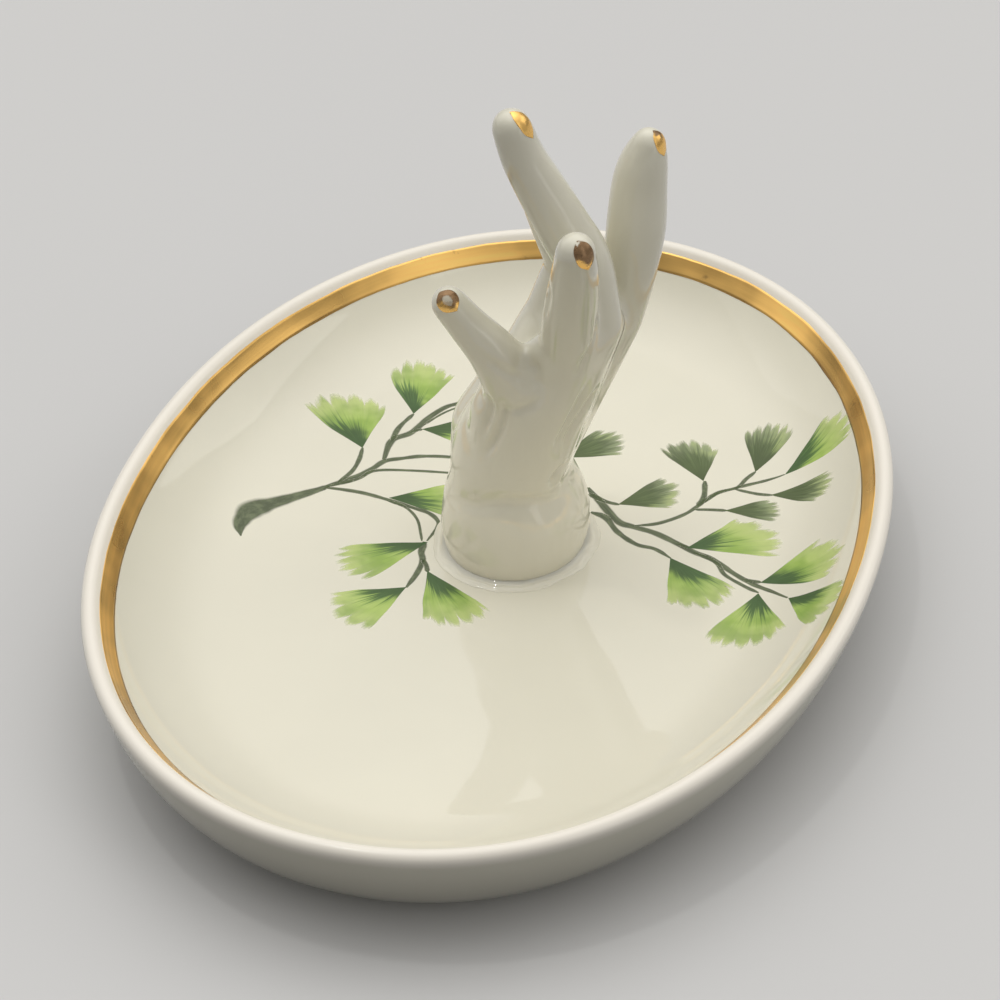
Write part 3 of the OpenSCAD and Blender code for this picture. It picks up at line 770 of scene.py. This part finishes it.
class RING_OT_dish(bpy.types.Operator):
    """Models the oval dish"""
    bl_idname = "ring.dish"
    bl_label = "Dish"

    def execute(self, context):
        dish = settings("ring_dish")
        bm = spin_section(dish_section(), dish.sides)
        lay_round_oval(bm)
        middle = (DISH_LOW.z + DISH_HIGH.z) / 2
        floor = HAND_LOW.z
        cap_hole(bm, lambda z: z < floor - 0.001)
        cap_hole(bm, lambda z: z > floor - 0.001 and z < middle + 1)
        bmesh.ops.recalc_face_normals(bm, faces=bm.faces)
        material = porcelain_material("Dish porcelain", coat=0.05, rim_height=DISH_HIGH.z)
        finish_piece("dish_shell", bm, [material], ["dish"])
        return {"FINISHED"}


def band_section(lift):
    gilding = settings("ring_gilding")
    first = inner_slope(gilding.band_drop)
    last = inner_slope(gilding.band_drop + gilding.band_height)
    base = arc(8, inner_point, first, last)
    slopes = arc(8, lambda a: a, first, last)
    raised = [(o - lift * math.cos(a), z + lift * math.sin(a)) for (o, z), a in zip(base, slopes)]
    sunk = [(o + lift * math.cos(a), z - lift * math.sin(a)) for (o, z), a in zip(base, slopes)]
    return raised + sunk[::-1] + [raised[0]]


class RING_OT_gold_line(bpy.types.Operator):
    """Lays the gold line round the inside of the rim"""
    bl_idname = "ring.gold_line"
    bl_label = "Gold line"

    def execute(self, context):
        gilding = settings("ring_gilding")
        bm = spin_section(band_section(gilding.lift), settings("ring_dish").sides)
        bmesh.ops.remove_doubles(bm, verts=bm.verts, dist=1e-7)
        top = DISH_HIGH.z - gilding.band_drop
        slope = settings("ring_dish").inner_lean

        def wander(angle, offset, height):
            share = (top - height) / gilding.band_height
            spot = Vector((math.cos(angle) * 9, math.sin(angle) * 9, share * 3))
            stray = gilding.brush_wander * (noise.noise(spot) + 0.4 * noise.noise(spot * 4))
            return offset - stray * math.sin(slope), height - stray * math.cos(slope)

        lay_round_oval(bm, wander)
        bmesh.ops.recalc_face_normals(bm, faces=bm.faces)
        finish_piece("gold_line", bm, [gold_line_material()], ["gilt_band"])
        return {"FINISHED"}


def hand_origin():
    hand = settings("ring_hand")
    return Vector((hand.centre_x, hand.centre_y, HAND_LOW.z))


def to_hand(x, y, z):
    return hand_origin() + Vector((x, y, z)) * MM


def wrap_balls(bm, balls):
    """Adds one closed skin wrapped tightly round a few balls."""
    part = bmesh.new()
    for x, y, z, r in balls:
        bmesh.ops.create_icosphere(part, subdivisions=3, radius=(r + SHRINKAGE) * MM,
                                   matrix=Matrix.Translation(to_hand(x, y, z)))
    hull = bmesh.ops.convex_hull(part, input=part.verts)
    spare = hull["geom_interior"] + hull["geom_unused"]
    inside = {g for g in spare if isinstance(g, bmesh.types.BMVert)}
    bmesh.ops.delete(part, geom=list(inside), context="VERTS")
    mesh = bpy.data.meshes.new("part")
    part.to_mesh(mesh)
    part.free()
    bm.from_mesh(mesh)
    bpy.data.meshes.remove(mesh)


def wrist_loft(bm):
    """Adds the flared wrist, as loops bridged from the base up."""
    rows = smooth_path(WRIST_ROWS, 4)
    loops = []
    for z, a, b, x in rows:
        made = bmesh.ops.create_circle(bm, cap_ends=False, radius=1.0, segments=96)
        ring = made["verts"]
        for v in ring:
            v.co = to_hand(x + v.co.x * a, v.co.y * b, z)
        loops.append([e for e in bm.edges if e.verts[0] in set(ring) and e.verts[1] in set(ring)])
    for low, high in zip(loops, loops[1:]):
        bmesh.ops.bridge_loops(bm, edges=low + high)
    bmesh.ops.holes_fill(bm, edges=loops[0] + loops[-1], sides=0)
    bmesh.ops.recalc_face_normals(bm, faces=bm.faces)


def fused(bm, voxel):
    """The parts of a bmesh fused into one skin, as a mesh."""
    mesh = bpy.data.meshes.new("parts")
    bm.to_mesh(mesh)
    bm.free()
    maker = bpy.data.objects.new("parts", mesh)
    bpy.context.scene.collection.objects.link(maker)
    remesh = maker.modifiers.new("Fuse", "REMESH")
    remesh.mode = "VOXEL"
    remesh.voxel_size = voxel
    graph = bpy.context.evaluated_depsgraph_get()
    result = bpy.data.meshes.new_from_object(maker.evaluated_get(graph))
    bpy.data.objects.remove(maker)
    bpy.data.meshes.remove(mesh)
    return result


def soften(bm, passes):
    for _ in range(passes):
        bmesh.ops.smooth_vert(bm, verts=bm.verts, factor=0.5, use_axis_x=True, use_axis_y=True,
                              use_axis_z=True)


def press_furrows(bm):
    """Presses the folds of the palm into the skin, as a modelling tool drawn along it would."""
    bm.normal_update()
    bm.verts.ensure_lookup_table()
    tree = KDTree(len(bm.verts))
    for v in bm.verts:
        tree.insert(v.co, v.index)
    tree.balance()
    for points, half_width, depth in FURROWS:
        path = smooth_path([to_hand(*p) for p in points], 8)
        nearest = {}
        for k, place in enumerate(path):
            share = k / max(1, len(path) - 1)
            fade = min(1.0, 4 * share, 4 * (1 - share)) if len(path) > 2 else 1.0
            for _, index, distance in tree.find_range(place, 2.2 * half_width * MM):
                push = fade * math.exp(-(distance / (half_width * MM)) ** 2)
                nearest[index] = max(nearest.get(index, 0.0), push)
        for index, push in nearest.items():
            v = bm.verts[index]
            v.co -= v.normal * depth * MM * push


class RING_OT_hand(bpy.types.Operator):
    """Models the standing hand"""
    bl_idname = "ring.hand"
    bl_label = "Hand"

    def execute(self, context):
        hand = settings("ring_hand")
        bm = bmesh.new()
        wrist_loft(bm)
        balls = dict(PALM)
        for name, joints in DIGITS.items():
            balls[name] = joints[0]
        for names in PALM_GROUPS:
            wrap_balls(bm, [balls[name] for name in names])
        for joints in DIGITS.values():
            path = smooth_path(joints, 5)
            for low, high in zip(path, path[1:]):
                wrap_balls(bm, [low, high])
        skin = fused(bm, hand.voxel)
        bm = bmesh.new()
        bm.from_mesh(skin)
        bpy.data.meshes.remove(skin)
        soften(bm, hand.smoothing)
        press_furrows(bm)
        soften(bm, 1)
        low, high = HAND_LOW.z, HAND_HIGH.z
        for v in bm.verts:
            v.co.z = min(max(v.co.z, low), high)
        material = porcelain_material("Hand porcelain", shade=0.07, speck=0.3, swell=2.4, streak=0.45)
        finish_piece("hand_cast", bm, [material], ["hand"])
        return {"FINISHED"}


class RING_OT_slip_bead(bpy.types.Operator):
    """Models the bead of slip round the wrist's base"""
    bl_idname = "ring.slip_bead"
    bl_label = "Slip bead"

    def execute(self, context):
        steps = 24
        shares = [k / steps for k in range(steps + 1)]
        slope = [(BEAD_WIDTH * (1 - t), BEAD_HEIGHT * (
            0.5 * math.sqrt(t) * (1 - t) + 0.9 * (1 - math.cos(math.pi / 2 * t)))) for t in shares]
        section = slope + [(-BEAD_TUCK, slope[-1][1]), (-BEAD_TUCK, -0.0001), (BEAD_WIDTH, -0.0001), slope[0]]
        bm = spin_section(section, 240)
        bmesh.ops.remove_doubles(bm, verts=bm.verts, dist=1e-7)
        base_a, base_b = WRIST_ROWS[0][1] * MM, WRIST_ROWS[0][2] * MM
        for v in bm.verts:
            angle = math.atan2(v.co.y, v.co.x)
            offset = math.hypot(v.co.x, v.co.y) - SPIN_RADIUS
            round_place = Vector((math.cos(angle), math.sin(angle), 0))
            lump = 1 + 0.45 * noise.noise(round_place * 2.2 + Vector((0, 0, 3)))
            lump += 0.15 * noise.noise(round_place * 7)
            ripple = math.sin(offset / BEAD_RIPPLE * math.tau + 5 * noise.noise(round_place * 3))
            share = min(1.0, max(0.0, offset / BEAD_WIDTH))
            height = v.co.z + (0.04 * MM * ripple * math.sin(math.pi * share) if v.co.z > 0 else 0)
            if offset > 0:
                offset *= min(lump, 1.25)
            v.co = hand_origin() + Vector((
                (base_a + offset) * math.cos(angle), (base_b + offset) * math.sin(angle), height))
        bmesh.ops.recalc_face_normals(bm, faces=bm.faces)
        # The slip porcelain carries painted shade, grey in the crevice where the bead meets the wrist
        material = porcelain_material(
            "Slip porcelain", shade=0.05, speck=0.0, swell=2.0, crevice_shade_height=HAND_LOW.z + 0.9 * BEAD_HEIGHT)
        finish_piece("slip_bead", bm, [material], ["luting_bead"])
        return {"FINISHED"}


class RING_OT_nails(bpy.types.Operator):
    """Lays the gilt nails on the fingertips"""
    bl_idname = "ring.nails"
    bl_label = "Gilt nails"

    def execute(self, context):
        gilding = settings("ring_gilding")
        tree = surface_tree(bpy.data.objects["hand_cast"])
        for name, (facing, half_width, length, tarnish, bare, ragged) in NAILS.items():
            joints = DIGITS[name]
            tip = to_hand(*joints[-1][:3])
            along = (tip - to_hand(*joints[-2][:3])).normalized()
            face = Vector(facing).normalized()
            along = (along - face * along.dot(face)).normalized()
            side = along.cross(face)
            bm = bmesh.new()
            bm.loops.layers.uv.new("UVMap")
            bmesh.ops.create_grid(bm, x_segments=24, y_segments=32, size=1.0, calc_uvs=True)
            for v in bm.verts:
                x, y = v.co.x, v.co.y
                taper = math.sqrt(max(0.0008, 1 - abs(y) ** (2.5 if y > 0 else 2.0)))
                across = x * taper * half_width * MM
                down = y * math.sqrt(max(0.0, 1 - 0.3 * x * x)) * length / 2 * MM
                start = tip + side * across + along * down + face * 8 * MM
                hit = tree.ray_cast(start, -face)
                if hit[0] is None:
                    raise RuntimeError(f"the {name} nail misses the finger")
                v.co = hit[0] + hit[1] * gilding.lift
            bmesh.ops.solidify(bm, geom=bm.faces, thickness=gilding.lift * 1.5)
            bmesh.ops.recalc_face_normals(bm, faces=bm.faces)
            if bm.calc_volume(signed=True) < 0:
                bmesh.ops.reverse_faces(bm, faces=bm.faces)
            material = gold_nail_material("Gold nail " + name, tarnish, bare, ragged)
            finish_piece("nail_" + name, bm, [material], ["gilt_nail_" + name])
        return {"FINISHED"}


def drop_on(tree, x, y, lift):
    """The point of the dish's hollow side below a place in plan, raised by lift."""
    hit = tree.ray_cast(Vector((x, y, DISH_HIGH.z + 0.01)), Vector((0, 0, -1)))
    if hit[0] is None:
        raise RuntimeError("a spray reaches past the dish")
    normal = hit[1] if hit[1].z > 0 else -hit[1]
    return hit[0] + normal * lift


def fringe(across, seed, lobes):
    """How far a leaf's fringe reaches at a place across it, as a share: round lobes with small teeth."""
    wave = noise.noise(Vector((across * 1.6 + seed * 7.3, seed * 3.7, 0)))
    fine = noise.noise(Vector((across * 9 + seed * 5.1, seed * 1.3, 4)))
    share = (across * (1 + 0.12 * wave) + 1) / 2 * lobes + seed * 0.37
    lobe = 1 - (2 * (share % 1) - 1) ** 2
    tooth = 1 - abs(2 * ((share * 2.3 + 0.8 * fine) % 1) - 1)
    return 0.86 + 0.15 * math.sqrt(lobe) + 0.035 * tooth * (1 + fine) + 0.05 * wave


def add_leaf(bm, tree, leaf, seed, lift):
    """A fan leaf as a grid bent into a sector."""
    x, y, heading, length, spread, lean, tone, skew = leaf
    tones, skews = bm.verts.layers.float["tone"], bm.verts.layers.float["skew"]
    made = bmesh.ops.create_grid(bm, x_segments=96, y_segments=16, size=0.5, calc_uvs=True)
    lobes = 4 + seed % 3
    for v in made["verts"]:
        across, along = v.co.x * 2, v.co.y + 0.5
        reach = length * (0.84 + 0.16 * math.cos(across * 1.35)) * (1 - lean * across)
        reach *= fringe(across, seed, lobes)
        edge = noise.noise(Vector((along * 2.5 + seed * 2.9, math.copysign(1, across) * 3, seed * 0.7)))
        bend = 1 + 0.07 * math.sin(math.pi * along) + 0.12 * edge * along
        angle = math.radians(heading - across * spread / 2 * bend)
        radius = reach * along * MM
        px, py = x * MM + radius * math.cos(angle), y * MM + radius * math.sin(angle)
        v.co = drop_on(tree, px, py, lift)
        v[tones], v[skews] = tone, skew
    for face in {f for v in made["verts"] for f in v.link_faces}:
        face.material_index = 0


# How much wider a stem's strip is than its solid colour, whose edges fade out
STEM_SPREAD = 1.55


def add_stem(bm, tree, stem, lift):
    """A stem as a narrow strip along a smooth path, a single brush stroke that thins at both ends."""
    path = smooth_path(stem, 8)
    made = bmesh.ops.create_grid(bm, x_segments=4, y_segments=len(path) - 1, size=0.5, calc_uvs=True)
    for v in made["verts"]:
        row = round((v.co.y + 0.5) * (len(path) - 1))
        low, high = path[max(row - 1, 0)], path[min(row + 1, len(path) - 1)]
        way = Vector((high.x - low.x, high.y - low.y)).normalized()
        share = row / (len(path) - 1)
        thinned = min(1.0, 0.45 + 5 * share, 0.45 + 5 * (1 - share))
        uneven = 1 + 0.2 * noise.noise(Vector((path[row].x * 0.7, path[row].y * 0.7, 5)))
        width = path[row].z * thinned * uneven
        across = v.co.x * STEM_SPREAD * width
        v.co = drop_on(tree, (path[row].x + way.y * across) * MM, (path[row].y - way.x * across) * MM, lift)
    for face in {f for v in made["verts"] for f in v.link_faces}:
        face.material_index = 1


class RING_OT_sprays(bpy.types.Operator):
    """Paints the fern sprays on the dish's floor"""
    bl_idname = "ring.sprays"
    bl_label = "Fern sprays"

    def execute(self, context):
        lift = settings("ring_gilding").lift * 0.4
        tree = surface_tree(bpy.data.objects["dish_shell"])
        materials = [leaf_material(), stem_material()]
        for side, spray in SPRAYS.items():
            bm = bmesh.new()
            bm.loops.layers.uv.new("UVMap")
            bm.verts.layers.float.new("tone")
            bm.verts.layers.float.new("skew")
            for stem in spray["stems"]:
                add_stem(bm, tree, stem, lift)
            for number, leaf in enumerate(spray["leaves"]):
                add_leaf(bm, tree, leaf, number + len(side), lift * 1.5)
            bmesh.ops.remove_doubles(bm, verts=bm.verts, dist=1e-7)
            name = "fern_spray_" + side
            finish_piece(name + "_enamel", bm, materials, [name])
        return {"FINISHED"}


WARM_WHITE = (1.0, 0.985, 0.96, 1.0)


def floor_material():
    """A pale matt floor, whose own bounce on the object is kept low."""
    material, n = start_material("Plain floor")
    place = n.add("ShaderNodeTexCoord").outputs["Object"]
    tone = n.ramp(n.noise(place, 3.0, 2, 0.5), 0.3, 0.7, 0.98, 1.0)
    seen = n.scaled(tuple(settings("ring_stage").floor_colour), tone)
    path = n.add("ShaderNodeLightPath").outputs
    direct = n.math("MAXIMUM", path["Is Camera Ray"], n.math("MAXIMUM", path["Is Glossy Ray"],
                                                             path["Is Transmission Ray"]))
    colour = n.mix(direct, (0.10, 0.098, 0.094, 1), seen)
    finish_material(n, {"Base Color": colour, "Roughness": 0.7})
    return material


def add_lamp(name, place, aim, size, power):
    light = bpy.data.lights.new(name, "AREA")
    light.shape = "RECTANGLE"
    light.size, light.size_y = size
    light.energy = power
    light.color = WARM_WHITE[:3]
    lamp = bpy.data.objects.new(name, light)
    lamp.location = place
    lamp.rotation_euler = (Vector(aim) - Vector(place)).to_track_quat("-Z", "Y").to_euler()
    bpy.context.scene.collection.objects.link(lamp)


class RING_OT_stage(bpy.types.Operator):
    """Sets up the floor, the lamps and the camera"""
    bl_idname = "ring.stage"
    bl_label = "Stage"

    def execute(self, context):
        stage = settings("ring_stage")
        scene = context.scene
        bm = bmesh.new()
        bmesh.ops.create_grid(bm, x_segments=1, y_segments=1, size=8.0)
        mesh = bpy.data.meshes.new("floor")
        bm.to_mesh(mesh)
        bm.free()
        mesh.materials.append(floor_material())
        floor = bpy.data.objects.new("floor", mesh)
        scene.collection.objects.link(floor)
        add_lamp("overhead_lamp", (-0.22, -0.05, 0.95), (0, 0, 0.01), (0.04, 0.035), 0.42)
        add_lamp("left_softbox", (-0.9, 0.1, 0.5), (0, 0, 0.03), (0.9, 0.7), 0.9)
        add_lamp("right_softbox", (0.75, 0.55, 0.6), (0, 0, 0.03), (0.7, 0.5), 1.05)
        add_lamp("side_softbox", (0.75, -0.34, 0.42), (0, 0, 0.05), (0.25, 0.9), 0.6)
        world = bpy.data.worlds.new("Soft room")
        world.use_nodes = True
        n = Nodes(world.node_tree)
        way = n.add("ShaderNodeTexCoord").outputs["Generated"]
        parts = n.add("ShaderNodeSeparateXYZ", {0: way}).outputs
        dimmed = n.ramp(parts[1], -0.9, 0.2, 0.72, 1.0)
        room = n.math("MULTIPLY", n.ramp(parts[2], -0.1, 0.9, 0.24, 0.66), dimmed)
        aim = Vector((-0.15, 0.30, 0.95)).normalized()
        towards = n.add("ShaderNodeVectorMath", {0: way, 1: tuple(aim)}, operation="DOT_PRODUCT")
        glow = n.ramp(towards.outputs["Value"], math.cos(math.radians(48)), math.cos(math.radians(8)), 0.0, 1.12)
        back = n.add("ShaderNodeBackground", {"Color": WARM_WHITE, "Strength": n.math("ADD", room, glow)})
        n.add("ShaderNodeOutputWorld", {"Surface": back.outputs[0]})
        scene.world = world
        camera = bpy.data.cameras.new("camera")
        camera.lens = stage.lens
        camera.sensor_width = 36
        camera.clip_start = 0.01
        view = bpy.data.objects.new("camera", camera)
        turn = Matrix.Rotation(stage.look_azimuth, 4, "Z") @ Matrix.Rotation(
            math.pi / 2 - stage.look_down, 4, "X") @ Matrix.Rotation(stage.roll, 4, "Z")
        view.matrix_world = Matrix.Translation(stage.camera_place) @ turn
        scene.collection.objects.link(view)
        scene.camera = view
        scene.view_settings.view_transform = "Standard"
        return {"FINISHED"}


class RING_PT_panel(bpy.types.Panel):
    """Lists the pieces of the ring dish"""
    bl_idname = "RING_PT_panel"
    bl_label = "Ring Dish"
    bl_space_type = "VIEW_3D"
    bl_region_type = "UI"
    bl_category = "Ring Dish"

    def draw(self, context):
        for operator in OPERATORS:
            self.layout.operator(operator.bl_idname)
        for name, _ in SETTINGS:
            box = self.layout.box()
            for key in settings(name).bl_rna.properties.keys():
                if key not in ("rna_type", "name"):
                    box.prop(settings(name), key)


SETTINGS = [("ring_dish", DishSettings), ("ring_gilding", GildingSettings), ("ring_hand", HandSettings),
            ("ring_paint", PaintSettings), ("ring_stage", StageSettings)]
OPERATORS = [RING_OT_dish, RING_OT_gold_line, RING_OT_hand, RING_OT_slip_bead, RING_OT_nails, RING_OT_sprays,
             RING_OT_stage]


def register():
    for name, group_class in SETTINGS:
        bpy.utils.register_class(group_class)
        setattr(bpy.types.Scene, name, bpy.props.PointerProperty(type=group_class))
    for operator in OPERATORS:
        bpy.utils.register_class(operator)
    bpy.utils.register_class(RING_PT_panel)


def unregister():
    bpy.utils.unregister_class(RING_PT_panel)
    for operator in reversed(OPERATORS):
        bpy.utils.unregister_class(operator)
    for name, group_class in reversed(SETTINGS):
        delattr(bpy.types.Scene, name)
        bpy.utils.unregister_class(group_class)


def main():
    register()
    bpy.ops.ring.dish()
    bpy.ops.ring.gold_line()
    bpy.ops.ring.hand()
    bpy.ops.ring.slip_bead()
    bpy.ops.ring.nails()
    bpy.ops.ring.sprays()
    bpy.ops.ring.stage()


if __name__ == "__main__":
    main()
